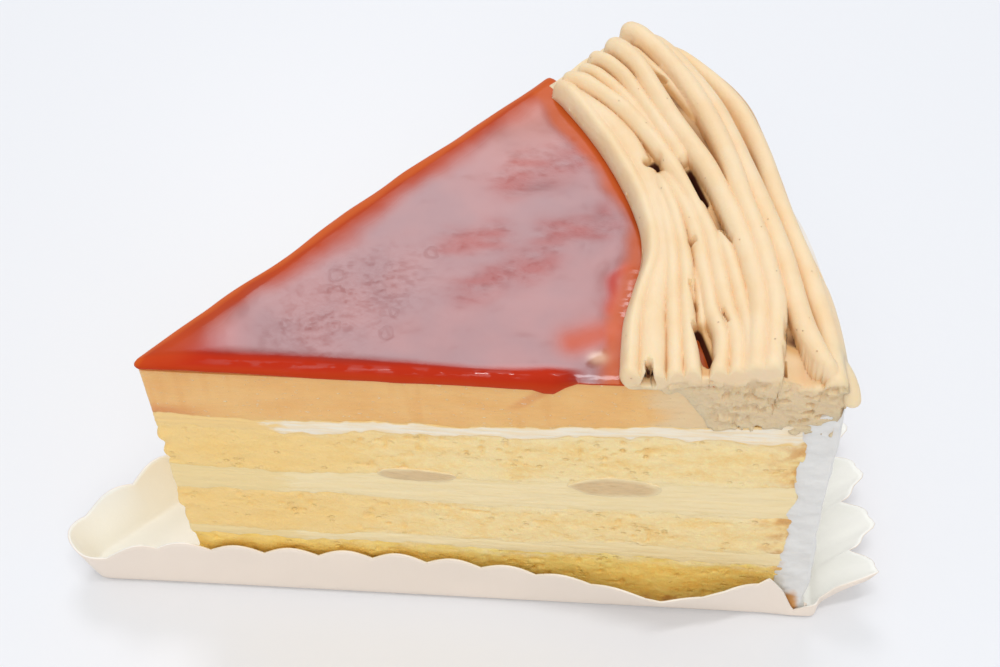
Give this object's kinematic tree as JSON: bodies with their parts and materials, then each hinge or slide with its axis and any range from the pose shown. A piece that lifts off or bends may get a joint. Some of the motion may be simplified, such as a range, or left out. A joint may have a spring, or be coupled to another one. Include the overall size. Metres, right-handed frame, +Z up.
{
  "type": "chestnut shortcake slice",
  "caption": "Wedge of layered sponge and cream shortcake with glazed bavarois top and piped chestnut cream, in a pleated paper case.",
  "frame": {"origin": "middle of the base of the whole slice with its paper case, on the surface it stands on", "axes": "+X along the wedge's middle line from its tip to its outer arc, +Y towards its back cut, +Z up"},
  "size_m": [0.1206, 0.0892, 0.0633],
  "materials": {
    "waxed_paper": "satin",
    "bottom_sponge": "matte",
    "sponge": "matte",
    "cream": "satin",
    "white_cream": "satin",
    "bavarois": "satin",
    "caramel_glaze": "glossy",
    "coat_cream": "satin",
    "chestnut_cream": "satin",
    "chestnut": "satin"
  },
  "bodies": {
    "root": {"paper_case": "waxed_paper", "sponge_bottom": "bottom_sponge", "cream_lower": "cream", "sponge_middle": "sponge", "cream_middle": "cream", "sponge_top": "sponge", "cream_upper": "white_cream", "bavarois": "bavarois", "caramel_glaze": "caramel_glaze", "cream_coat": "coat_cream", "chestnut_piping": "chestnut_cream", "chestnut_slice_1": "chestnut", "chestnut_slice_2": "chestnut", "chestnut_slice_3": "chestnut", "chestnut_slice_4": "chestnut"}
  },
  "joints": []
}
